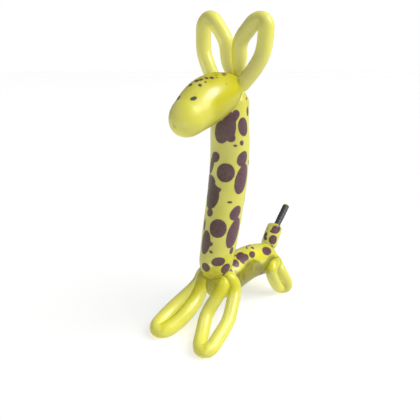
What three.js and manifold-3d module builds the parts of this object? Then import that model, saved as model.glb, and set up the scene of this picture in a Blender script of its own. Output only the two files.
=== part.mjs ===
// Twisted latex modelling-balloon giraffe. Millimetres, +Z up, the giraffe
// faces -Y, and +X is its left side. Every balloon is one node: a run of
// inflated bubbles swept along centrelines, narrowing to a twist at each end.
import * as THREE from 'three';
import { mergeVertices } from 'three/addons/utils/BufferGeometryUtils.js';
import Module from 'manifold-3d';

const wasm = await Module();
wasm.setup();
const { Manifold, Mesh: ManifoldMesh } = wasm;

// ---- driving dimensions ----------------------------------------------------
const GAP = 0.35;              // clearance between neighbouring balloons

const NECK_R_TOP = 23.0;       // neck bubble: radius under the poll,
const NECK_R_MID = 26.8;       // at its fullest, a third of the way down,
const NECK_R_LOW = 22.8;       // and above the shoulder
const NECK_TOP = 332.0;        // height of the poll twist
const SHOULDER = 67.0;         // height of the neck and body twist

const BODY_R_FRONT = 23.6;
const BODY_R_MID = 26.2;
const BODY_R_REAR = 24.6;

const TAIL_R = 13.1;
const TAIL_END_R0 = 5.8;       // uninflated end: at the tail bubble,
const TAIL_END_R1 = 4.8;       // and at its tip
const HEAD_R = 29.6;           // head bubble: at its fullest, over the jaw,
const SNOUT_R = 20.5;          // at the snout,
const POLL_R = 17.0;           // and where it draws in to the poll

const EAR_R = 10.0;
const FRONT_LEG_R = 9.5;
const HIND_LEG_R = 9.1;
const TWIST_R = 3.0;           // twisted neck where thin bubbles start

const FAT_SIDES = 20;
const THIN_SIDES = 12;

const YELLOW = 0xe9e34a;
const SPOTTED = 0xd9cf4c;

// ---- sweeping --------------------------------------------------------------
const V = (x, y, z) => new THREE.Vector3(x, y, z);
const mirror = (p) => V(-p.x, p.y, p.z);

// Radius along a bubble: interpolated between named radii, which are evenly
// spaced or each given as [distance along, radius], with an elliptical dome
// of the given length at each end.
function bubbleRadius(radii, startDome, endDome, startR = 0, endR = 0) {
  return (s, length) => {
    const at = (k) => (Array.isArray(radii[k]) ? radii[k][0] : (length * k) / (radii.length - 1));
    const size = (k) => (Array.isArray(radii[k]) ? radii[k][1] : radii[k]);
    let i = 0;
    while (i < radii.length - 2 && s > at(i + 1)) i += 1;
    const f = Math.min(Math.max((s - at(i)) / (at(i + 1) - at(i)), 0), 1);
    const full = size(i) + (size(i + 1) - size(i)) * f * f * (3 - 2 * f);
    const dome = (d, reach, r0) => {
      if (d >= reach) return 1;
      const c = Math.sqrt(Math.max(0, 1 - (1 - d / reach) ** 2));
      return Math.max(c, r0 / full);
    };
    return full * dome(s, startDome, startR) * dome(length - s, endDome, endR);
  };
}

// Closed tube of varying radius along a smooth curve, with a point at each
// end. Stations are closer together where the domes curve.
function sweep(points, radiusAt, sides, stations, { grow = 0, domes = [0, 0] } = {}) {
  const curve = new THREE.CatmullRomCurve3(points, false, 'centripetal');
  curve.arcLengthDivisions = 400;
  const length = curve.getLength();
  const stops = [];
  for (let i = 0; i <= stations; i++) {
    const u = i / stations;
    stops.push((0.5 - 0.5 * Math.cos(Math.PI * u)) * 0.45 + u * 0.55);
  }
  const frames = [];
  let side = null;
  for (const u of stops) {
    const p = curve.getPointAt(u);
    const t = curve.getTangentAt(u);
    if (!side) side = Math.abs(t.x) < 0.9 ? V(1, 0, 0) : V(0, 1, 0);
    side = side.clone().addScaledVector(t, -side.dot(t)).normalize();
    frames.push({ p, t, side, up: t.clone().cross(side) });
  }
  const position = [];
  const index = [];
  const first = frames[0];
  const last = frames[frames.length - 1];
  const apex0 = first.p.clone().addScaledVector(first.t, -grow);
  const apex1 = last.p.clone().addScaledVector(last.t, grow);
  position.push(apex0.x, apex0.y, apex0.z);
  for (let i = 0; i < frames.length; i++) {
    const { p, side: a, up: b } = frames[i];
    const r = Math.max(radiusAt(stops[i] * length, length), 0.7) + grow;
    for (let k = 0; k < sides; k++) {
      const w = (2 * Math.PI * k) / sides;
      position.push(
        p.x + r * (a.x * Math.cos(w) + b.x * Math.sin(w)),
        p.y + r * (a.y * Math.cos(w) + b.y * Math.sin(w)),
        p.z + r * (a.z * Math.cos(w) + b.z * Math.sin(w)),
      );
    }
  }
  position.push(apex1.x, apex1.y, apex1.z);
  const ring = (i, k) => 1 + i * sides + (k % sides);
  const end = 1 + frames.length * sides;
  for (let k = 0; k < sides; k++) {
    index.push(0, ring(0, k + 1), ring(0, k));
    index.push(end, ring(frames.length - 1, k), ring(frames.length - 1, k + 1));
    for (let i = 0; i < frames.length - 1; i++) {
      index.push(ring(i, k), ring(i, k + 1), ring(i + 1, k));
      index.push(ring(i, k + 1), ring(i + 1, k + 1), ring(i + 1, k));
    }
  }
  const g = new THREE.BufferGeometry();
  g.setAttribute('position', new THREE.Float32BufferAttribute(position, 3));
  g.setIndex(index);
  return g;
}

// ---- joining and cutting ---------------------------------------------------
function solid(geometry) {
  const g = mergeVertices(geometry, 1e-4);
  const m = new ManifoldMesh({
    numProp: 3,
    vertProperties: Float32Array.from(g.attributes.position.array),
    triVerts: Uint32Array.from(g.index.array),
  });
  m.merge();
  return new Manifold(m);
}

function toGeometry(manifold) {
  const m = manifold.getMesh();
  const g = new THREE.BufferGeometry();
  g.setAttribute('position', new THREE.Float32BufferAttribute(Array.from(m.vertProperties), 3));
  g.setIndex(Array.from(m.triVerts));
  g.computeVertexNormals();
  return g;
}

const joined = (bubbles, grow = 0) =>
  Manifold.union(bubbles.map((b) => solid(b(grow))));

// A bubble is a function of how much it is grown, so that a neighbour can be
// cut to its shape with a clearance.
const bubble = (points, radii, domes, sides, stations, ends = [0, 0]) => (grow) =>
  sweep(points, bubbleRadius(radii, domes[0], domes[1], ends[0], ends[1]), sides, stations, { grow });

// ---- the spotted balloon: neck, body, tail and uninflated end --------------
const shoulderTwist = V(0, -5.7, SHOULDER);
const rumpTwist = V(0, 154, 54);

const neck = bubble(
  [V(0, 41, NECK_TOP), V(0, 36, 318), V(0, 31.5, 290), V(0, 32.5, 247), V(0, 27.5, 199),
    V(0, 13, 137), V(0, 5.5, 106), V(0, 0.5, 88), shoulderTwist],
  [NECK_R_TOP, NECK_R_MID, NECK_R_MID, NECK_R_LOW + 3, NECK_R_LOW],
  [24, 30], FAT_SIDES, 22, [3, 3]);

const body = bubble(
  [shoulderTwist, V(0, 4, 59), V(0, 16, 56), V(0, 42, 60.5), V(0, 78, 62.5), V(0, 110, 58.5),
    V(0, 134, 52.5), rumpTwist],
  [BODY_R_FRONT, BODY_R_MID, BODY_R_MID, BODY_R_REAR],
  [20, 20], FAT_SIDES, 20, [3, 3]);

const tail = bubble(
  [V(0, 144.5, 64), V(0, 153.5, 82), V(0, 169.3, 102.5)],
  [TAIL_R, TAIL_R], [12, 8], THIN_SIDES, 10, [4, 6]);

const tailEnd = bubble(
  [V(0, 168.2, 97.6), V(0, 187.3, 113.6), V(0, 204.3, 129.6)],
  [TAIL_END_R0, TAIL_END_R1], [1, 3], 10, 4, [5.8, 1.5]);

const spottedBubbles = [neck, body, tail, tailEnd];

// ---- the head balloon ------------------------------------------------------
const head = bubble(
  [V(0, -78, 289), V(0, -62, 294), V(0, -42, 304.5), V(0, -20, 315), V(0, 3, 322),
    V(0, 23, 328.5), V(0, 41, 336.5)],
  [[0, SNOUT_R], [24, SNOUT_R + 2.3], [43, HEAD_R - 2.6], [62, HEAD_R], [82, HEAD_R - 0.6],
    [98, HEAD_R - 3.6], [113, POLL_R + 3.5], [129, POLL_R]],
  [24, 17], FAT_SIDES, 20, [0, 3]);

// ---- thin loops: each is two strands that meet again at its rounded tip ----
const ball = (centre, r, sides = 10, rings = 6) => (grow) => {
  const g = new THREE.SphereGeometry(r + grow, sides, rings);
  g.deleteAttribute('normal');
  g.deleteAttribute('uv');
  g.rotateX(Math.PI / 2);
  g.translate(centre.x, centre.y, centre.z);
  return g;
};

const loop = (inner, outer, tip, r, stations) => {
  const strand = (pts) =>
    bubble([...pts, tip], [r, r], [r * 2.4, r * 0.9], THIN_SIDES, stations, [TWIST_R, 0]);
  return [strand(inner), strand(outer), ball(tip, r)];
};

const earHub = V(0, 42, 343);
const ears = [
  ...loop(
    [V(0, 42, 344), V(6.8, 40.5, 351), V(11.6, 35.9, 386), V(24.5, 35, 401)],
    [V(1, 42, 343), V(9, 40, 338.5), V(17, 34, 336), V(26, 30.5, 341), V(37, 32.5, 355),
      V(46.2, 34.4, 372), V(49, 35.6, 396)],
    V(41.5, 35, 410.5), EAR_R, 10),
  ...loop(
    [V(0, 42, 344), V(-6.8, 40.5, 351), V(-11.4, 35.9, 388), V(-23.5, 35, 406)],
    [V(-1, 42, 343), V(-9, 40, 338.5), V(-17, 34, 336), V(-26, 30.5, 341), V(-36.5, 32.5, 355),
      V(-45.8, 34.4, 373), V(-48.2, 35.6, 397.5)],
    V(-39.5, 35, 416), EAR_R, 10),
];

const frontHub = V(0, -12.5, 64.5);
const frontLegs = [
  ...loop(
    [V(0, -13, 64), V(9, -8, 68), V(17.5, -2, 70.5), V(19.5, -9, 61.5), V(16.5, -20.5, 47.5),
      V(13.8, -36.5, 30), V(23.3, -58, 15.8), V(32, -74, 9.8)],
    [V(0, -12, 65), V(9.5, -6, 70), V(20, 3, 74), V(27, 7.5, 65), V(31.4, 4.5, 54),
      V(37, -8.5, 41.5), V(43.6, -27, 27.8), V(47.4, -54, 16.5), V(48.6, -73, 9.9)],
    V(40.6, -81.5, 8.4), FRONT_LEG_R, 11),
  ...loop(
    [V(0, -13, 64), V(-9, -8, 67.5), V(-17.5, -1, 68), V(-20, -2.5, 54), V(-17.5, -16, 37.5),
      V(-15.5, -40, 25.3), V(-19, -60.5, 15.2), V(-24.6, -77.5, 10.6)],
    [V(0, -12, 65), V(-9.5, -6, 69), V(-20, 4, 70), V(-27.5, 6, 61.5), V(-31.5, 2, 51),
      V(-37, -9.5, 40.3), V(-43.5, -28, 28.5), V(-47, -56, 16), V(-41.8, -78.8, 9.8)],
    V(-33, -85.2, 8.4), FRONT_LEG_R, 11),
];

const hindHub = V(0, 159, 51);
const hindInner = [V(0, 159, 50), V(13, 150, 48), V(23.5, 132, 51), V(29.2, 113, 54),
  V(31.5, 106, 46), V(31.6, 112.3, 33), V(32.2, 121, 20.5), V(33.6, 129.3, 11)];
const hindOuter = [V(0, 159, 51), V(16, 146, 50), V(29.5, 134, 44.5), V(37, 134, 33),
  V(42.2, 138.6, 20.5), V(43, 138.5, 12)];
const hindTip = V(38.8, 135.6, 8.0);
const hindLegs = [
  ...loop(hindInner, hindOuter, hindTip, HIND_LEG_R, 11),
  ...loop(hindInner.map(mirror), hindOuter.map(mirror), mirror(hindTip), HIND_LEG_R, 11),
];

// ---- assembly --------------------------------------------------------------
// Everything below the ground is cut away, which leaves each foot a flat.
const floor = new THREE.BoxGeometry(300, 400, 60);
floor.deleteAttribute('normal');
floor.deleteAttribute('uv');
floor.translate(0, 30, -30);
const ground = solid(floor);

const headSolid = joined([head]);
const spottedWhole = joined(spottedBubbles);
const spottedSolid = spottedWhole.subtract(joined([head], GAP));
const spottedGrown = joined(spottedBubbles, GAP);
const headGrown = joined([head], GAP);

const earSolid = joined([...ears, ball(earHub, 4.6)]).subtract(spottedGrown).subtract(headGrown);
const frontSolid = joined([...frontLegs, ball(frontHub, 4.6)]).subtract(spottedGrown);
const hindSolid = joined([...hindLegs, ball(hindHub, 4.6)]).subtract(spottedGrown);

const biggest = (m) => m.decompose().sort((a, b) => b.volume() - a.volume())[0];

const parts = [
  ['spotted_balloon', spottedSolid, SPOTTED],
  ['head_balloon', headSolid, YELLOW],
  ['ear_balloon', earSolid, YELLOW],
  ['front_leg_balloon', frontSolid, YELLOW],
  ['hind_leg_balloon', hindSolid, YELLOW],
];

// The origin is under the middle of the whole figure, on the ground.
const cuts = parts.map(([name, manifold, color]) => [name, biggest(manifold.subtract(ground)), color]);
const boxes = cuts.map(([, m]) => m.boundingBox());
const middle = (k) =>
  (Math.min(...boxes.map((b) => b.min[k])) + Math.max(...boxes.map((b) => b.max[k]))) / 2;

const group = new THREE.Group();
for (const [name, manifold, color] of cuts) {
  const mesh = new THREE.Mesh(
    toGeometry(manifold),
    new THREE.MeshStandardMaterial({ color, roughness: 0.28, metalness: 0 }),
  );
  mesh.name = name;
  mesh.position.set(-middle(0), -middle(1), 0);
  group.add(mesh);
}

export default group;
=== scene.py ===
# Looks for the twisted-balloon giraffe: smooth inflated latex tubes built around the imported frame.
# Lengths in the construction below are millimetres in the balloons' own axes; Y is shifted once to the frame's.
import math
import bpy
import numpy as np
from mathutils import Matrix, Vector


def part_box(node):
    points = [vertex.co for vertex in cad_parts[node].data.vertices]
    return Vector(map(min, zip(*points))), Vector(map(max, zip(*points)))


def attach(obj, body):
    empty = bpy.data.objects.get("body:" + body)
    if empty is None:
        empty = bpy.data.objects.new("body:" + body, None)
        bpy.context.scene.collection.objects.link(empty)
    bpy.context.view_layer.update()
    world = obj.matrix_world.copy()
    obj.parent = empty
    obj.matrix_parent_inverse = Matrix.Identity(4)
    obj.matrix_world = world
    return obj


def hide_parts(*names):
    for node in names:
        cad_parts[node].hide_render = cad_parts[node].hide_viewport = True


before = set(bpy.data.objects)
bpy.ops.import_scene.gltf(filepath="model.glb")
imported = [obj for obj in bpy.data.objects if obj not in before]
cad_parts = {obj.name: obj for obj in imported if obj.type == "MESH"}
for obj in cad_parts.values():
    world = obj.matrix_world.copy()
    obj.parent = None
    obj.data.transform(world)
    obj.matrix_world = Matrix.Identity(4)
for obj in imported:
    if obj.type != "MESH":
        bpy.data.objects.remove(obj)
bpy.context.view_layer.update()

MM = 0.001

# The frame's origin is under the middle of the figure; the tubes are laid out about the neck, where the
# middle of the spotted balloon is at x 0, y 92.11.
_lo, _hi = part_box("spotted_balloon")
SHIFT = np.array([(_lo.x + _hi.x) / 2 / MM, (_lo.y + _hi.y) / 2 / MM - 92.11, 0.0])


# ---------------------------------------------------------------- centrelines and bubbles
def catmull(points, per=60):
    """Centripetal Catmull-Rom through the points, sampled densely."""
    P = [np.array(p, float) for p in points]
    P = [2 * P[0] - P[1]] + P + [2 * P[-1] - P[-2]]
    out = []
    for i in range(1, len(P) - 2):
        p0, p1, p2, p3 = P[i - 1], P[i], P[i + 1], P[i + 2]
        d0 = max(np.linalg.norm(p1 - p0) ** 0.5, 1e-6)
        d1 = max(np.linalg.norm(p2 - p1) ** 0.5, 1e-6)
        d2 = max(np.linalg.norm(p3 - p2) ** 0.5, 1e-6)
        t1 = ((p1 - p0) / d0 - (p2 - p0) / (d0 + d1) + (p2 - p1) / d1) * d1
        t2 = ((p2 - p1) / d1 - (p3 - p1) / (d1 + d2) + (p3 - p2) / d2) * d1
        u = np.linspace(0, 1, per, endpoint=False)[:, None]
        out.append((2 * u**3 - 3 * u**2 + 1) * p1 + (u**3 - 2 * u**2 + u) * t1
                   + (-2 * u**3 + 3 * u**2) * p2 + (u**3 - u**2) * t2)
    out.append(P[-2][None, :])
    return np.vstack(out)


def lengths(c):
    return np.concatenate([[0], np.cumsum(np.linalg.norm(np.diff(c, axis=0), axis=1))])


def resample(c, n):
    s = lengths(c)
    t = np.linspace(0, s[-1], n)
    return np.stack([np.interp(t, s, c[:, k]) for k in range(3)], 1)


def relax(c, sigma, n):
    """Evens out a centreline with a Gaussian of sigma millimetres along it; its ends stay."""
    c = resample(c, n)
    step = lengths(c)[-1] / (n - 1)
    w = int(4 * sigma / step) + 1
    k = np.exp(-0.5 * ((np.arange(-w, w + 1) * step) / sigma) ** 2)
    k /= k.sum()
    pad = np.vstack([2 * c[0] - c[w:0:-1], c, 2 * c[-1] - c[-2:-w - 2:-1]])
    out = np.stack([np.convolve(pad[:, j], k, "valid") for j in range(3)], 1)
    out[0], out[-1] = c[0], c[-1]
    return out


class Tube:
    """An inflated bubble: a centreline, a radius along it, and a frame for the angle around it."""

    def __init__(self, points, radii, domes, ends=(0, 0), sigma=6.0, n=500, side=(1, 0, 0),
                 power=(2.0, 2.0), pinch=None):
        c = relax(catmull(points), sigma, n)
        self.c = resample(c, n)
        self.s = lengths(self.c)
        self.whole = self.s
        self.L = self.s[-1]
        t = np.gradient(self.c, axis=0)
        self.t = t / np.linalg.norm(t, axis=1)[:, None]
        a = np.array(side, float)
        A = []
        for k in range(n):
            a = a - self.t[k] * (a @ self.t[k])
            a /= np.linalg.norm(a)
            A.append(a)
        self.a = np.array(A)
        self.b = np.cross(self.t, self.a)
        self.domes, self.ends, self.power, self.pinch = domes, ends, power, pinch
        if isinstance(radii[0], tuple):
            places, sizes = zip(*radii)
        else:
            places, sizes = np.linspace(0, self.L, len(radii)), radii
        fine = np.linspace(-40, self.L + 40, 1200)
        full = np.interp(fine, places, sizes)
        step = fine[1] - fine[0]
        w = int(15 / step)
        k = np.exp(-0.5 * (np.arange(-w, w + 1) * step / 5.0) ** 2)
        full = np.convolve(np.pad(full, w, "edge"), k / k.sum(), "valid")
        self.full = np.interp(self.s, fine, full)
        self.widest = float(self.full.max())

    def radius(self, s):
        s = np.asarray(s, float)
        full = np.interp(s, self.whole, self.full)
        if self.pinch is not None:
            at, width, keep = self.pinch
            full = full * (1 - (1 - keep) * np.exp(-0.5 * ((s - at) / width) ** 2))

        def dome(d, reach, r0, p):
            q = np.clip(1 - d / reach, 0, 1)
            return np.maximum((1 - q ** p) ** (1 / p), r0 / full)

        return (full * dome(s, self.domes[0], self.ends[0], self.power[0])
                * dome(self.L - s, self.domes[1], self.ends[1], self.power[1]))

    def at(self, s):
        f = lambda v: np.stack([np.interp(s, self.s, v[:, k]) for k in range(3)], -1)
        return f(self.c), f(self.t), f(self.a), f(self.b)

    def near(self, P, chunk=20000):
        """For each point: how far along the centreline its nearest place is, and its distance."""
        S, D = np.empty(len(P)), np.empty(len(P))
        c, s = self.c[::2], self.s[::2]
        cc = (c ** 2).sum(1)
        for i in range(0, len(P), chunk):
            q = P[i:i + chunk]
            k = ((q ** 2).sum(1)[:, None] + cc[None] - 2 * q @ c.T).argmin(1)
            best, bs = np.full(len(q), 1e9), np.zeros(len(q))
            for o in (-1, 0):
                k0 = np.clip(k + o, 0, len(c) - 2)
                a, b = c[k0], c[k0 + 1]
                ab = b - a
                u = np.clip(((q - a) * ab).sum(1) / (ab ** 2).sum(1), 0, 1)
                dd = np.linalg.norm(q - a - ab * u[:, None], axis=1)
                m = dd < best
                best[m] = dd[m]
                bs[m] = (s[k0] + u * (s[k0 + 1] - s[k0]))[m]
            S[i:i + chunk], D[i:i + chunk] = bs, best
        return S, D

    def inside(self, P):
        """Distance from the centreline over the radius there: below 1 inside the bubble."""
        S, D = self.near(P)
        return D / np.maximum(self.radius(S), 0.5)

    def part(self, s0, s1):
        """The stretch from s0 to s1, for contact with the rest of the same tube."""
        m = (self.s >= s0) & (self.s <= s1)
        p = object.__new__(Tube)
        p.__dict__.update(self.__dict__)
        p.c, p.s = self.c[m], self.s[m]
        return p


def mirrored(points):
    return [(-x, y, z) for x, y, z in points]


# ---------------------------------------------------------------- the five balloons
neck = Tube([(0, 41, 332), (0, 36, 318), (0, 31.5, 290), (0, 32.5, 247), (0, 27.5, 199), (0, 13, 137),
             (0, 5.5, 106), (0, 0.5, 88), (0, -5.7, 67)],
            [23.0, 26.8, 26.8, 25.8, 22.8], (24, 30), (2.6, 2.6), power=(2.0, 2.1))
body = Tube([(0, -5.7, 67), (0, 4, 59), (0, 16, 56), (0, 42, 60.5), (0, 78, 62.5), (0, 110, 58.5),
             (0, 134, 52.5), (0, 154, 54)], [23.6, 26.2, 26.2, 24.6], (20, 20), (2.6, 2.6))
tail = Tube([(0, 144.5, 64), (0, 153.5, 82), (0, 169.3, 102.5)], [13.2, 13.0], (12, 8), (2.6, 5.6),
            sigma=3, power=(2.0, 2.6))
tail_end = Tube([(0, 168.2, 97.6), (0, 175.2, 103), (0, 187.3, 113.6), (0, 204.3, 129.6)], [5.5, 4.6],
                (1.0, 4.2), (5.4, 0), sigma=3)
head = Tube([(0, -78, 289), (0, -62, 294), (0, -42, 304.5), (0, -20, 315), (0, 3, 322), (0, 23, 328.5),
             (0, 41, 336.5)],
            [(0, 20.5), (24, 22.8), (43, 27), (62, 29.6), (82, 29.0), (98, 26), (113, 20.5), (129, 17)],
            (24, 17), (0, 2.6), sigma=8)

EAR_R, FRONT_R, HIND_R = 10.0, 9.5, 9.1


def loop(points, r, tip, pinch_keep=0.9):
    """One loop: a thin bubble folded back on itself. tip is the fold's place in the list of points."""
    t = Tube(points, [r, r, r], (r * 2.9, r * 2.9), (1.8, 1.8), sigma=3.2, n=700, power=(1.7, 1.7))
    at = float(t.near(np.array([points[tip]], float))[0][0])
    t.pinch = (at, r * 0.55, pinch_keep)
    t.fold = at
    return t


EAR_LEFT = [(0, 42, 343), (6.8, 40, 351), (11.6, 35.9, 386), (24.5, 35, 401), (34, 34.8, 409.5),
            (42, 35, 411.5), (48.6, 35.3, 406.5), (49.0, 35.6, 396), (46.2, 34.4, 372), (37, 32.5, 355),
            (26, 30, 341), (17, 31, 333), (8, 37, 335), (0, 42, 341)]
EAR_RIGHT = [(0, 42, 343), (-6.8, 40, 351), (-11.4, 35.9, 388), (-23.5, 35, 406), (-32.5, 34.8, 416),
             (-39.8, 35, 417.5), (-46.6, 35.3, 410.5), (-48.2, 35.6, 397.5), (-45.8, 34.4, 373), (-36.5, 32.5, 355),
             (-26, 30, 341), (-17, 31, 333), (-8, 37, 335), (0, 42, 341)]
FRONT_LEFT = [(0, -4, 68), (9, -1.5, 72), (17.5, -1.5, 70.5), (19.5, -9, 61.5), (16.5, -20.5, 47.5),
              (13.8, -36.5, 30), (23.3, -58, 15.8), (32, -74, 9.8), (40.8, -82.5, 9), (48.6, -75, 9.8),
              (47.4, -54, 16.5), (43.6, -27, 27.8), (37, -8.5, 41.5), (31.4, 4.5, 54), (27, 7.5, 65),
              (20, 4, 74), (9, 0.5, 73), (0, -4, 70)]
FRONT_RIGHT = [(0, -4, 68), (-9, -1.5, 71), (-17.5, -0.5, 68), (-21, -2.5, 54), (-19.7, -16, 37.5),
               (-18.0, -40, 25.6), (-21.2, -60.5, 15.9), (-26.0, -76.5, 10.9), (-33, -84.5, 10.4),
               (-40.4, -79.5, 10.9), (-44.9, -56, 16.6), (-41.3, -28, 28.7), (-35, -9.5, 40.3), (-30, 2, 51),
               (-27.5, 6, 61.5),
               (-20, 4, 70), (-9, 0.5, 71), (0, -4, 69)]
HIND = [(0, 159, 50), (13, 150, 48), (23.5, 132, 51), (29.2, 113, 54), (31.5, 106, 46), (31.6, 112.3, 33),
        (32.2, 121, 20.5), (33.6, 129.3, 11), (38.8, 136, 8.8), (43.2, 138.5, 11.5), (42.2, 138.6, 20.5), (37, 134, 33),
        (29.5, 133.5, 44.5), (16, 145, 50), (0, 159, 51)]

ears = [loop(EAR_LEFT, EAR_R, 5), loop(EAR_RIGHT, EAR_R, 5)]
fronts = [loop(FRONT_LEFT, FRONT_R, 8), loop(FRONT_RIGHT, FRONT_R + 1.5, 8)]
hinds = [loop(HIND, HIND_R, 8), loop(mirrored(HIND), HIND_R, 8)]


# ---------------------------------------------------------------- skinning
def blur(field, ds, dt, sigma):
    """Gaussian blur of a ring-by-angle field, wrapping round the tube."""
    out = field
    for axis, d in ((0, ds), (1, dt)):
        w = max(1, int(3 * sigma / d))
        k = np.exp(-0.5 * (np.arange(-w, w + 1) * d / sigma) ** 2)
        k /= k.sum()
        pad = np.concatenate([out[-w:], out, out[:w]], 0) if axis == 0 else np.concatenate(
            [out[:, -w:], out, out[:, :w]], 1)
        if axis == 0:
            pad[:w], pad[-w:] = out[:1], out[-1:]
        out = sum(k[j] * (pad[j:j + out.shape[0]] if axis == 0 else pad[:, j:j + out.shape[1]])
                  for j in range(2 * w + 1))
    return out


def skin(tube, rings, sides, others=(), pucker=(0.34, 12, 7.0), ends_puckered=(True, True), spiral=0.10,
         own=False, rough_ends=0.0, oval=None, seed=0):
    """The bubble's surface. It dents where a neighbour presses on it, so that both share the contact."""
    u = np.linspace(0, 1, rings + 1)
    s = tube.L * (0.55 * u + 0.45 * (0.5 - 0.5 * np.cos(np.pi * u)))
    c, t, a, b = tube.at(s)
    th = np.linspace(0, 2 * np.pi, sides, endpoint=False)
    r = tube.radius(s)[:, None] * np.ones((1, sides))
    amp, count, reach = pucker
    rng = np.random.default_rng(seed)
    for end, on in ((0, ends_puckered[0]), (1, ends_puckered[1])):
        if not on:
            continue
        d = s if end == 0 else tube.L - s
        wave = 0.5 + 0.5 * np.cos(count * th[None] + spiral * d[:, None] * count
                                  + 0.8 * np.sin(3 * th[None] + rng.uniform(0, 6)) + rng.uniform(0, 6))
        wave = wave ** 1.5
        r = r * (1 - amp * np.exp(-(d / reach) ** 1.3)[:, None] * wave)
    if oval is not None:
        r = r * oval(s[:, None], th[None])
    direction = a[:, None] * np.cos(th)[None, :, None] + b[:, None] * np.sin(th)[None, :, None]
    P = c[:, None] + r[..., None] * direction
    tau = np.ones(r.shape)
    C = np.broadcast_to(c[:, None], P.shape)
    R = np.broadcast_to(tube.radius(s)[:, None], r.shape)

    def press(g_of, mask):
        """Draws surface points back towards the centreline to where both bubbles share them equally."""
        pts, cen, rad = P[mask], C[mask], R[mask]
        g = g_of(pts)
        hit = g < 1.0
        if not hit.any():
            return
        pts, cen, rad = pts[hit], cen[hit], rad[hit]
        lo, hi = np.zeros(len(pts)), np.ones(len(pts))
        for _ in range(9):
            mid = (lo + hi) / 2
            q = cen + mid[:, None] * (pts - cen)
            ok = g_of(q) > mid + 0.10 / np.maximum(rad, 2)
            lo, hi = np.where(ok, mid, lo), np.where(ok, hi, mid)
        idx = np.argwhere(mask)[hit]
        tau[idx[:, 0], idx[:, 1]] = np.minimum(tau[idx[:, 0], idx[:, 1]], lo)

    everywhere = np.ones(r.shape, bool)
    for o in others:
        lo_o, hi_o = o.c.min(0) - 32, o.c.max(0) + 32
        near = ((P > lo_o) & (P < hi_o)).all(2) & everywhere
        if near.any():
            press(o.inside, near)
    if own:
        reach_own = 2.3 * tube.widest
        for k in range(0, rings + 1, 4):
            band = np.zeros(r.shape, bool)
            band[k:k + 4] = True
            mid_s = s[min(k + 2, rings)]
            side_parts = []
            if mid_s < tube.fold and tube.L > mid_s + reach_own:
                side_parts.append(tube.part(max(mid_s + reach_own, 2 * tube.fold - mid_s - 60), tube.L))
            if mid_s >= tube.fold and mid_s - reach_own > 0:
                side_parts.append(tube.part(0, min(mid_s - reach_own, 2 * tube.fold - mid_s + 60)))
            for p in side_parts:
                if len(p.c) > 6:
                    press(p.inside, band)
    step = tube.L / rings
    arc = 2 * np.pi * tube.widest / sides
    soft = blur(tau, step, arc, 1.3)
    tau = np.minimum(tau, soft)
    P = C + tau[..., None] * (P - C)
    dent = np.clip((1 - tau) * R, 0, 8)
    apex = [c[0] - t[0] * 0.3, c[-1] + t[-1] * 0.3]
    verts = np.vstack([P.reshape(-1, 3), apex])
    n = sides
    i = np.arange(rings)[:, None] * n
    k = np.arange(n)[None]
    k1 = (k + 1) % n
    quads = np.stack([i + k, i + k1, i + n + k1, i + n + k], -1).reshape(-1, 4)
    last = rings * n
    caps = [[len(verts) - 2, int((q + 1) % n), int(q)] for q in range(n)]
    caps += [[len(verts) - 1, last + int(q), last + int((q + 1) % n)] for q in range(n)]
    S = np.concatenate([np.repeat(s, n), [0, tube.L]])
    T = np.concatenate([np.tile(th, rings + 1), [0, 0]])
    full = np.concatenate([(tube.radius(s)[:, None] / tube.widest * np.ones((1, n))).ravel(), [0, 0]])
    dents = np.concatenate([dent.ravel(), [0, 0]])
    return {"v": verts, "quads": quads, "tris": np.array(caps), "s": S, "th": T, "full": full, "dent": dents,
            "r": np.concatenate([np.repeat(tube.radius(s), n), [1, 1]]), "L": tube.L}


def rest_on_ground(part, level=0.05):
    z = part["v"][:, 2]
    part["v"][:, 2] = np.where(z < level, level + 0.04 * (z - level), z)


# ---------------------------------------------------------------- the print
def spot_field(part, spots):
    """Millimetres from the nearest printed spot's edge, negative inside one, and how faint the print is there.
    A spot is (along, angle in degrees, half size across, half size along, tilt in degrees, faintness)."""
    s, th, r = part["s"], np.degrees(part["th"]), np.maximum(part["r"], 3)
    best = np.full(len(s), 12.0)
    faint = np.zeros(len(s))
    nearest = np.full(len(s), 99.0)
    for spot in spots:
        along, angle, A, B = spot[:4]
        tilt = math.radians(spot[4]) if len(spot) > 4 else 0.0
        dx = np.radians((th - angle + 180) % 360 - 180) * r
        dy = s - along
        x = dx * math.cos(tilt) + dy * math.sin(tilt)
        y = -dx * math.sin(tilt) + dy * math.cos(tilt)
        q = np.sqrt((x / A) ** 2 + (y / B) ** 2)
        g = np.sqrt((x / A ** 2) ** 2 + (y / B ** 2) ** 2)
        d = np.where(q > 1e-6, q * (q - 1) / np.maximum(g, 1e-6), -min(A, B))
        d = np.clip(d, -min(A, B), 12)
        m = d < nearest
        nearest[m] = d[m]
        faint[m] = spot[5] if len(spot) > 5 else 0.0
        # smooth union, so that touching spots run into one blotch
        h = np.clip(0.5 + 0.5 * (best - d) / 1.4, 0, 1)
        best = best * (1 - h) + d * h - 1.4 * h * (1 - h)
    return best, faint


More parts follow.
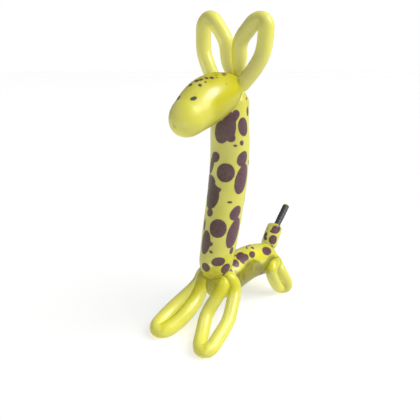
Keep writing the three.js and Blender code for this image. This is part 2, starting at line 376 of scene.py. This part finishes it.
NECK_SPOTS = [
    # its left side
    (58, 79, 11, 14, -4), (50, 56, 9.1, 15.8, 2), (64, 51, 6.3, 6.1, -32), (37, 37, 5.1, 5.6, 6),
    (41, 43, 5.2, 4.2, 0), (52, 11, 8.8, 12.1, 11), (72, 19, 3.3, 3.9, 20), (75, 39, 3.3, 1.8, -13),
    (93, 100, 7.4, 8.3, -28), (106, 117, 5.5, 13.6, -13), (94, 14, 8.8, 11.2, -30), (114, 64, 13, 13.8, -8),
    (122, 10, 11.4, 21.5, -13), (140, 83, 5.9, 3.8, 11), (150, 104, 13.7, 19.5, -1), (130, 121, 13.3, 10.2, 2),
    (174, 101, 6, 5.9, -30), (155, 42, 3.9, 2, 6), (169, 16, 8.2, 11.7, -33), (193, 65, 12.5, 13, -9),
    (197, 10, 10.7, 22.2, -13), (216, 103, 9.2, 17.5, -3), (216, 82, 4, 3.5, 29), (193, 119, 3.1, 8.1, 3),
    (227, 76, 3.2, 2, -31), (222, 6, 3.9, 5.4, -14), (239, 47, 10.2, 6.7, 17), (251, 91, 7.8, 6.6, 10),
    (248, 13, 8.2, 8.0, 20), (257, 1, 5.2, 6.6, 25),
    (32, 350, 3.3, 6.6, 8), (16, 358, 1.3, 2.8, -31),
    # its right side and back
    (22, 250, 12, 11), (20, 180, 10.1, 9), (45, 215, 12.9, 14), (58, 178, 6.4, 7), (70, 255, 10.1, 10),
    (84, 214, 4.1, 3), (94, 188, 11, 12), (106, 236, 11, 12), (120, 160, 6.4, 10), (124, 204, 3.7, 2),
    (134, 228, 10.1, 10), (148, 262, 10.1, 11), (152, 186, 11, 13), (163, 226, 3.7, 3), (178, 210, 12.4, 12),
    (184, 256, 9.2, 12), (190, 160, 6.4, 9), (203, 230, 5.5, 5), (210, 192, 12, 12), (224, 258, 9.2, 9),
    (230, 222, 10.1, 9), (242, 176, 8.3, 8), (18, 316, 6.4, 7), (78, 316, 8.3, 9), (100, 336, 4.6, 4),
    (150, 322, 7.4, 10), (178, 318, 4.1, 3), (226, 316, 9.2, 10), (10, 110, 5.5, 3), (250, 300, 6.4, 6),
    (256, 140, 5.5, 5),
]
BODY_SPOTS = [
    (63, 287, 6.2, 10.1, 29), (64, 303, 6.8, 11, 19), (82, 306, 5.1, 7.6, 25), (88, 271, 1.7, 4.4, 45),
    (95, 283, 4.2, 2.6, -29), (97, 262, 3, 4.5, -10), (119, 312, 7.7, 13.8, 12), (46, 295, 8.5, 6, -7),
    (31, 284, 8.1, 12.1, 36), (24, 306, 5.4, 8.5, 4), (54, 269, 2.9, 6.6, -19), (36, 265, 2.4, 7.9, -13),
    (36, 317, 2.4, 3.5, 9, 0.45), (63, 319, 5.5, 7.5, 12, 0.62), (69, 336, 1.9, 2.3, -6, 0.6),
    (66, 346, 2.8, 3.5, 1, 0.6), (59, 344, 1.3, 1.9, -27, 0.6), (34, 336, 4.4, 8.8, 34, 0.62),
    (46, 352, 4.6, 4.3, -19, 0.6), (86, 359, 5.4, 12.1, -21, 0.66), (88, 338, 1.8, 3, -13, 0.66),
    (30, 0, 1.6, 3.6, -25), (103, 34, 3.1, 9.1, -17),
    (22, 84, 7.4, 7), (45, 88, 9.2, 8), (70, 78, 6.4, 7), (92, 88, 9.2, 8), (120, 76, 7.4, 8),
    (138, 62, 5.5, 5), (20, 140, 8.3, 8), (40, 128, 5.5, 5), (54, 150, 10.1, 8), (78, 130, 7.4, 8),
    (80, 164, 3.7, 3), (98, 152, 10.1, 9), (120, 136, 6.4, 6), (128, 172, 7.4, 8), (28, 196, 7.4, 8),
    (52, 206, 10.1, 8), (72, 190, 4.6, 4), (84, 222, 8.3, 8), (106, 204, 8.3, 8), (132, 218, 7.4, 7),
    (32, 236, 5.5, 5), (66, 236, 3.7, 3), (108, 246, 5.5, 5), (124, 268, 2.8, 2.4), (136, 20, 4.6, 5),
]
TAIL_SPOTS = [
    (35, 315, 6.9, 9.2, -43), (29, 295, 4.9, 2.5, 0), (18, 320, 7.8, 7.4, 17), (21, 248, 4, 5, -18),
    (16, 263, 3.3, 2, 27), (31, 252, 2.2, 1.5, -4, 0.5), (6, 335, 1.7, 5.5, 42),
    (28, 40, 6, 5.5), (12, 60, 5.1, 5), (34, 120, 6.4, 6), (17, 140, 6, 5.5), (27, 190, 3.7, 4),
    (10, 205, 5.5, 5), (38, 200, 4.1, 3.4),
]
HEAD_SPOTS = [
    (52, 259, 4.2, 2.3, -32), (59, 266, 3.9, 2.4, -26), (62, 275, 3.1, 2.7, -11), (67, 282, 3.6, 2, -24),
    (53, 287, 3.3, 2.1, -29), (60, 291, 2.1, 1.3, -34), (71, 291, 3.3, 2.7, -16), (81, 290, 1.6, 3.4, -2, 0.3),
    (76, 298, 1.7, 1.9, 33, 0.3), (95, 294, 3.2, 7.4, 24, 0.2), (80, 324, 1.2, 2.1, 8, 0.5),
    (54, 236, 3.2, 2.3), (63, 244, 3.4, 2.2), (60, 226, 1.8, 1.4), (72, 238, 3.2, 2.6), (79, 256, 3.4, 2.2),
    (86, 238, 2.6, 2), (88, 274, 3, 2.2), (96, 256, 2.8, 3.2), (76, 222, 1.6, 1.3), (104, 286, 2.4, 2.6),
]
# The drawn eyes and brow lines: (along, angle, half size across, half size along, tilt).
EYES = [(33, 299, 2.8, 4.3, -30), (31, 248, 2.8, 4.3, 28)]


def eye_fields(part):
    """Millimetres from the drawn eyes' edges, and from the brow lines' centres."""
    s, th, r = part["s"], np.degrees(part["th"]), np.maximum(part["r"], 3)
    eye = np.full(len(s), 12.0)
    brow = np.full(len(s), 12.0)
    for along, angle, A, B, tilt in EYES:
        k = math.radians(tilt)
        dx = np.radians((th - angle + 180) % 360 - 180) * r
        dy = s - along
        x = dx * math.cos(k) + dy * math.sin(k)
        y = -dx * math.sin(k) + dy * math.cos(k)
        q = np.sqrt((x / A) ** 2 + (y / B) ** 2)
        g = np.sqrt((x / A ** 2) ** 2 + (y / B ** 2) ** 2)
        eye = np.minimum(eye, np.where(q > 1e-6, q * (q - 1) / np.maximum(g, 1e-6), -A))
        # a short arc over the eye, towards the crown
        side = 1.0 if tilt < 0 else -1.0
        cx, cy = dx + side * 0.6, dy - 2.6
        ring = np.abs(np.hypot(cx, cy) - 3.9)
        off = np.abs((np.arctan2(cy, cx) - (math.pi / 2 + side * 0.35) + math.pi) % (2 * math.pi) - math.pi)
        brow = np.minimum(brow, ring + 4.0 * np.clip(off - 0.70, 0, 3))
    return np.clip(eye, -3, 12), brow


# ---------------------------------------------------------------- meshes
def assemble(name, parts, material, extra):
    """One mesh object from a balloon's bubbles, with its coordinates and print as attributes."""
    verts, faces, base = [], [], 0
    cols = {k: [] for k in ("along", "around", "full", "dent")}
    cols.update({k: [] for k in extra})
    for p in parts:
        verts.append(p["v"])
        faces += (p["quads"] + base).tolist() + (p["tris"] + base).tolist()
        base += len(p["v"])
        cols["along"].append(p["s"])
        cols["around"].append(p["th"])
        cols["full"].append(p["full"])
        cols["dent"].append(p["dent"])
        for k in extra:
            cols[k].append(p.get(k, np.full(len(p["v"]), 12.0)))
    V = (np.vstack(verts) + SHIFT) * MM
    mesh = bpy.data.meshes.new(name)
    mesh.from_pydata(V.tolist(), [], faces)
    mesh.polygons.foreach_set("use_smooth", np.ones(len(mesh.polygons), bool))
    for k, chunks in cols.items():
        at = mesh.attributes.new(k, "FLOAT", "POINT")
        at.data.foreach_set("value", np.concatenate(chunks).astype(np.float32))
    mesh.validate()
    mesh.update()
    obj = bpy.data.objects.new(name, mesh)
    bpy.context.scene.collection.objects.link(obj)
    mesh.materials.append(material)
    return obj


# ---------------------------------------------------------------- materials
WALL = 0.70


def latex(name, yellow, deep, spots=False, face=False, tip=False):
    m = bpy.data.materials.new(name)
    m.use_nodes = True
    nt = m.node_tree
    N, L = nt.nodes, nt.links
    N.clear()
    out = N.new("ShaderNodeOutputMaterial")
    bsdf = N.new("ShaderNodeBsdfPrincipled")
    L.new(bsdf.outputs[0], out.inputs[0])

    def attr(k):
        n = N.new("ShaderNodeAttribute")
        n.attribute_name = k
        return n.outputs["Fac"]

    def math_(op, a, b=None, c=None, clamp=False):
        n = N.new("ShaderNodeMath")
        n.operation = op
        n.use_clamp = clamp
        for i, v in enumerate((a, b, c)):
            if v is None:
                continue
            if isinstance(v, (int, float)):
                n.inputs[i].default_value = v
            else:
                L.new(v, n.inputs[i])
        return n.outputs[0]

    def smooth(v, lo, hi):
        n = N.new("ShaderNodeMapRange")
        n.interpolation_type = "SMOOTHSTEP"
        L.new(v, n.inputs["Value"])
        n.inputs["From Min"].default_value = lo
        n.inputs["From Max"].default_value = hi
        return n.outputs[0]

    def mix(f, a, b):
        n = N.new("ShaderNodeMix")
        n.data_type = "RGBA"
        if isinstance(f, (int, float)):
            n.inputs[0].default_value = f
        else:
            L.new(f, n.inputs[0])
        for i, v in ((6, a), (7, b)):
            if isinstance(v, tuple):
                n.inputs[i].default_value = (*v, 1)
            else:
                L.new(v, n.inputs[i])
        return n.outputs[2]

    coords = N.new("ShaderNodeTexCoord").outputs["Object"]

    def noise(scale, detail=3.0, rough=0.5, vector=None):
        n = N.new("ShaderNodeTexNoise")
        n.inputs["Scale"].default_value = scale
        n.inputs["Detail"].default_value = detail
        n.inputs["Roughness"].default_value = rough
        L.new(vector or coords, n.inputs["Vector"])
        return n.outputs["Fac"]

    # Latex that is stretched less, next to a twist or a fold, is thicker: deeper and more golden.
    full = attr("full")
    cloud = noise(22, 2)
    thick_latex_and_shade = math_("SUBTRACT", 1.0, smooth(math_("ADD", full, math_("MULTIPLY", math_("SUBTRACT", cloud, 0.5), 0.22)),
                                          0.15, 1.0))
    # Painted shade: where a neighbouring bubble presses in, the dent is painted deeper and more opaque.
    dent = smooth(attr("dent"), 0.2, 3.0)
    thick_latex_and_shade = math_("MAXIMUM", thick_latex_and_shade, math_("MULTIPLY", dent, 0.45))
    if face:
        # Painted shade: the back of the head, next to the neck, is painted deeper and more opaque.
        edge = math_("ADD", attr("painted_neck_shade"), math_("MULTIPLY", math_("SUBTRACT", noise(45, 2), 0.5), 3.0))
        thick_latex_and_shade = math_("MAXIMUM", thick_latex_and_shade, math_("MULTIPLY", smooth(edge, -6.0, 5.0), 0.88))
    if not (spots or face):
        # Painted light: the ear loops are painted a paler, brighter yellow than the legs, so that they look more lit.
        color = mix(thick_latex_and_shade, mix(attr("painted_ear_light"), yellow, PAINTED_EAR_LIGHT), deep)
    else:
        color = mix(thick_latex_and_shade, yellow, deep)
    color = mix(math_("MULTIPLY", smooth(noise(60, 4), 0.35, 0.75), 0.10), color,
                tuple(v * 0.86 for v in yellow))
    if tip:
        # Painted shade: the lower sides and belly of the arched body are painted a deep olive.
        color = mix(math_("MULTIPLY", attr("under"), 0.95), color, (0.165, 0.156, 0.002))
    rough = math_("ADD", 0.27, math_("MULTIPLY", noise(90, 3), 0.10))

    # Faint lines that dipping leaves along the tube, and the fine skin of the latex.
    around = attr("around")
    along = attr("along")
    vec = N.new("ShaderNodeCombineXYZ")
    L.new(math_("COSINE", around), vec.inputs[0])
    L.new(math_("SINE", around), vec.inputs[1])
    L.new(math_("MULTIPLY", along, 0.012), vec.inputs[2])
    lines = noise(7.0, 4, 0.55, vec.outputs[0])
    skin_n = noise(420, 3)
    height = math_("ADD", math_("MULTIPLY", lines, 0.00035), math_("MULTIPLY", skin_n, 0.00004))

    # Thin latex lets a third of what is behind it through each wall; where the latex is thicker or painted in shade,
    # less.
    solid = math_("ADD", WALL, math_("MULTIPLY", thick_latex_and_shade, 0.17))
    if tip:
        # The painted underside shade also makes the wall more opaque there.
        solid = math_("ADD", solid, math_("MULTIPLY", attr("under"), math_("SUBTRACT", 0.91, solid)))

    # The print is on the outside: through the balloon's own wall it shows only weakly from within.
    inside = N.new("ShaderNodeNewGeometry").outputs["Backfacing"]
    printed = math_("SUBTRACT", 1.0, math_("MULTIPLY", inside, 0.78))
    if spots:
        wobble = math_("MULTIPLY", math_("SUBTRACT", noise(190, 3), 0.5), 1.1)
        d = math_("ADD", attr("ink"), wobble)
        ink = math_("SUBTRACT", 1.0, smooth(d, -0.75, 0.55))
        worn = math_("MULTIPLY", smooth(noise(330, 4, 0.6), 0.30, 0.62), 0.04)
        ink = math_("MULTIPLY", ink, math_("SUBTRACT", 1.0, math_("MULTIPLY", attr("faint"), 1.0)))
        ink = math_("MULTIPLY", math_("MULTIPLY", ink, math_("SUBTRACT", 1.0, worn)), printed)
        tone = mix(noise(35, 3), (0.055, 0.010, 0.037), (0.067, 0.015, 0.047))
        color = mix(ink, color, tone)
        rough = math_("ADD", rough, math_("MULTIPLY", ink, 0.10))
        height = math_("ADD", height, math_("MULTIPLY", ink, 0.00003))
        solid = math_("ADD", solid, math_("MULTIPLY", ink, math_("SUBTRACT", 0.95, solid)))
    if face:
        e = math_("ADD", attr("eye"), math_("MULTIPLY", math_("SUBTRACT", noise(420, 2), 0.5), 0.5))
        e = math_("MULTIPLY", math_("SUBTRACT", 1.0, smooth(e, -0.35, 0.30)), printed)
        color = mix(e, color, (0.040, 0.043, 0.052))
        solid = math_("ADD", solid, math_("MULTIPLY", e, math_("SUBTRACT", 0.96, solid)))
        bl = math_("SUBTRACT", 1.0, smooth(attr("brow"), 0.15, 0.75))
        bl = math_("MULTIPLY", bl, math_("ADD", 0.12, math_("MULTIPLY", noise(700, 2), 0.45)))
        color = mix(bl, color, (0.24, 0.22, 0.10))
    if tip:
        black = smooth(math_("ADD", attr("tip"), math_("MULTIPLY", math_("SUBTRACT", noise(260, 3), 0.5), 1.2)),
                       -0.5, 0.5)
        black = math_("SUBTRACT", 1.0, black)
        ink_tone = mix(noise(120, 4), (0.030, 0.030, 0.031), (0.055, 0.055, 0.056))
        color = mix(black, color, ink_tone)
        rough = math_("ADD", rough, math_("MULTIPLY", black, 0.22))
        solid = math_("ADD", solid, math_("MULTIPLY", black, math_("SUBTRACT", 0.97, solid)))

    L.new(color, bsdf.inputs["Base Color"])
    L.new(rough, bsdf.inputs["Roughness"])
    bump = N.new("ShaderNodeBump")
    bump.inputs["Strength"].default_value = 0.35
    bump.inputs["Distance"].default_value = 1.0
    L.new(height, bump.inputs["Height"])
    L.new(bump.outputs[0], bsdf.inputs["Normal"])
    L.new(solid, bsdf.inputs["Alpha"])
    bsdf.inputs["IOR"].default_value = 1.43
    bsdf.inputs["Coat Weight"].default_value = 0.08
    bsdf.inputs["Coat Roughness"].default_value = 0.12
    return m


YELLOW = (0.58, 0.556, 0.040)
# Painted light: a brighter copy of the yellow, for the ears.
PAINTED_EAR_LIGHT = (0.72, 0.69, 0.075)
DEEP = (0.42, 0.385, 0.010)
mat_spotted = latex("spotted_latex", YELLOW, DEEP, spots=True, tip=True)
mat_head = latex("head_latex", YELLOW, DEEP, spots=True, face=True)
mat_plain = latex("plain_latex", YELLOW, DEEP)


# ---------------------------------------------------------------- building the balloons
Q = 1.0
n_ = lambda k: int(k * Q)

p_neck = skin(neck, n_(300), n_(112), [body, head, *ears, *fronts], seed=1)
p_body = skin(body, n_(160), n_(112), [neck, tail, *fronts, *hinds], seed=2)
p_tail = skin(tail, n_(70), n_(64), [body, *hinds], pucker=(0.30, 9, 4.0), ends_puckered=(True, False), seed=3)


def limp(s, th):
    """The uninflated end hangs slack: slightly flat, with long soft creases."""
    return (1 + 0.10 * np.cos(2 * th + 0.5) - 0.10 * np.exp(-((np.mod(th - 0.9 + 0.05 * s, 2 * np.pi) - np.pi) / 0.30) ** 2)
            - 0.07 * np.exp(-((np.mod(th - 3.1 - 0.03 * s, 2 * np.pi) - np.pi) / 0.24) ** 2)
            + 0.025 * np.sin(s * 0.9 + 2 * th))


def ease(x):
    x = np.clip(x, 0, 1)
    return x * x * (3 - 2 * x)


def body_underside(part):
    """Mask of the painted shade: 1 along the lower sides and the belly of the body, 0 on its back and at its ends."""
    off = np.abs((np.degrees(part["th"]) - 90 + 180) % 360 - 180)
    along = part["s"]
    edge = 134 - 22 * ease((along - 76) / 20) + 10 * ease((along - 100) / 20)
    return ease((edge - off + 3 * np.sin(along / 9)) / 13) * ease((along - 22) / 10) * ease((146 - along) / 14)


p_end = skin(tail_end, n_(70), n_(48), (), ends_puckered=(False, False), oval=limp, seed=4)
for p, tube, spots in ((p_neck, neck, NECK_SPOTS), (p_body, body, BODY_SPOTS), (p_tail, tail, TAIL_SPOTS)):
    p["rmax"] = tube.widest
    p["ink"], p["faint"] = spot_field(p, spots)
# Painted shade on the body's underside.
p_body["under"] = body_underside(p_body)
for p in (p_neck, p_tail, p_end):
    p["under"] = np.zeros(len(p["s"]))
p_end["tip"] = p_end["s"] - (tail_end.L - 3.2)
p_end["full"] = np.full(len(p_end["s"]), 0.25)

p_head = skin(head, n_(190), n_(128), [neck, *ears], ends_puckered=(False, True), seed=5)
p_head["full"] = np.maximum(p_head["full"], 0.97 * ease((72 - p_head["s"]) / 20))
# Painted shade: the lower side of the head gets less fullness, so it is painted in the deeper colour.
chin = np.abs((np.degrees(p_head["th"]) - 90 + 180) % 360 - 180)
p_head["full"] = p_head["full"] - 0.34 * ease((95 - chin) / 55) * ease((p_head["s"] - 3) / 22)
p_head["rmax"] = head.widest
p_head["ink"], p_head["faint"] = spot_field(p_head, HEAD_SPOTS)
p_head["eye"], p_head["brow"] = eye_fields(p_head)
# Mask of the painted shade on the head: it rises towards the back of the head, next to the neck.
p_head["painted_neck_shade"] = p_head["v"][:, 1] + 35.5 - 0.25 * (25 - np.minimum(np.abs(p_head["v"][:, 0]), 25))


def loops(tubes, others, seed):
    out = []
    for j, t in enumerate(tubes):
        rest = [o for o in tubes if o is not t]
        out.append(skin(t, n_(300), n_(52), [*others, *rest], pucker=(0.30, 8, 4.0), spiral=0.16, own=True,
                        seed=seed + j))
    return out


p_ears = loops(ears, [neck, head], 10)
p_fronts = loops(fronts, [neck, body], 20)
p_hinds = loops(hinds, [body, tail], 30)
for p in (*p_fronts, *p_hinds):
    rest_on_ground(p)
    p["painted_ear_light"] = np.zeros(len(p["s"]))
# The painted light is on the ears only.
for p in p_ears:
    p["painted_ear_light"] = np.ones(len(p["s"]))

pieces = [
    (assemble("balloon_neck_body_tail", [p_neck, p_body, p_tail, p_end], mat_spotted, ("ink", "faint", "tip", "under")),
     "spotted_balloon", "spotted_latex"),
    (assemble("balloon_head", [p_head], mat_head, ("ink", "faint", "eye", "brow", "painted_neck_shade")), "head_balloon", "head_latex"),
    (assemble("balloon_ears", p_ears, mat_plain, ("painted_ear_light",)), "ear_balloon", "plain_latex"),
    (assemble("balloon_front_legs", p_fronts, mat_plain, ("painted_ear_light",)), "front_leg_balloon", "plain_latex"),
    (assemble("balloon_hind_legs", p_hinds, mat_plain, ("painted_ear_light",)), "hind_leg_balloon", "plain_latex"),
]
for obj, node, slot in pieces:
    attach(obj, "root")
    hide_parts(node)

# ---------------------------------------------------------------- floor, light and camera
floor_mesh = bpy.data.meshes.new("floor")
floor_mesh.from_pydata([(-400, -400, 0), (400, -400, 0), (400, 400, 0), (-400, 400, 0)], [], [(0, 1, 2, 3)])
floor = bpy.data.objects.new("floor", floor_mesh)
bpy.context.scene.collection.objects.link(floor)
fm = bpy.data.materials.new("pale_floor")
fm.use_nodes = True
fb = fm.node_tree.nodes["Principled BSDF"]
fb.inputs["Base Color"].default_value = (0.735, 0.735, 0.735, 1)
fb.inputs["Roughness"].default_value = 0.9
floor_mesh.materials.append(fm)

world = bpy.data.worlds.new("studio")
bpy.context.scene.world = world
world.use_nodes = True
wn, wl = world.node_tree.nodes, world.node_tree.links
wn.clear()
wout = wn.new("ShaderNodeOutputWorld")
seen = wn.new("ShaderNodeBackground")
seen.inputs["Color"].default_value = (1, 1, 1, 1)
seen.inputs["Strength"].default_value = 1.0
lit = wn.new("ShaderNodeBackground")
lit.inputs["Color"].default_value = (1, 1, 1, 1)
lit.inputs["Strength"].default_value = 0.07
wmix = wn.new("ShaderNodeMixShader")
path = wn.new("ShaderNodeLightPath")
wl.new(path.outputs["Is Camera Ray"], wmix.inputs[0])
wl.new(lit.outputs[0], wmix.inputs[1])
wl.new(seen.outputs[0], wmix.inputs[2])
wl.new(wmix.outputs[0], wout.inputs[0])


def sunlight(name, azimuth, elevation, strength, softness, shadow=True):
    """An even soft light. Azimuth 0 is in front of the giraffe, 90 at its left side."""
    a, e = math.radians(azimuth), math.radians(elevation)
    data = bpy.data.lights.new(name, "SUN")
    data.energy = strength
    data.angle = math.radians(softness)
    data.use_shadow = shadow
    o = bpy.data.objects.new(name, data)
    o.rotation_euler = Vector((math.sin(a) * math.cos(e), -math.cos(a) * math.cos(e),
                               math.sin(e))).to_track_quat("Z", "Y").to_euler()
    bpy.context.scene.collection.objects.link(o)


sunlight("key_light", 112, 50, 1.6, 50)
sunlight("soft_key_light", 112, 46, 3.7, 26, shadow=False)
sunlight("top_light", 60, 80, 0.36, 90, shadow=False)

AZ, EL = math.radians(38.178), math.radians(17.357)
back = Vector((math.sin(AZ) * math.cos(EL), -math.cos(AZ) * math.cos(EL), math.sin(EL)))
right = Vector((math.cos(AZ), math.sin(AZ), 0))
up = back.cross(right)
cam_data = bpy.data.cameras.new("camera")
cam_data.sensor_width = 36
cam_data.lens = 442.951 / 420 * 36
cam_data.clip_start = 0.01
cam = bpy.data.objects.new("camera", cam_data)
cam.matrix_world = Matrix((
    (right.x, up.x, back.x, 0.35135 + SHIFT[0] * MM),
    (right.y, up.y, back.y, -0.45844 + SHIFT[1] * MM),
    (right.z, up.z, back.z, 0.35024),
    (0, 0, 0, 1)))
bpy.context.scene.collection.objects.link(cam)
bpy.context.scene.camera = cam
bpy.context.scene.view_settings.view_transform = "Standard"
bpy.context.scene.cycles.transparent_max_bounces = 24
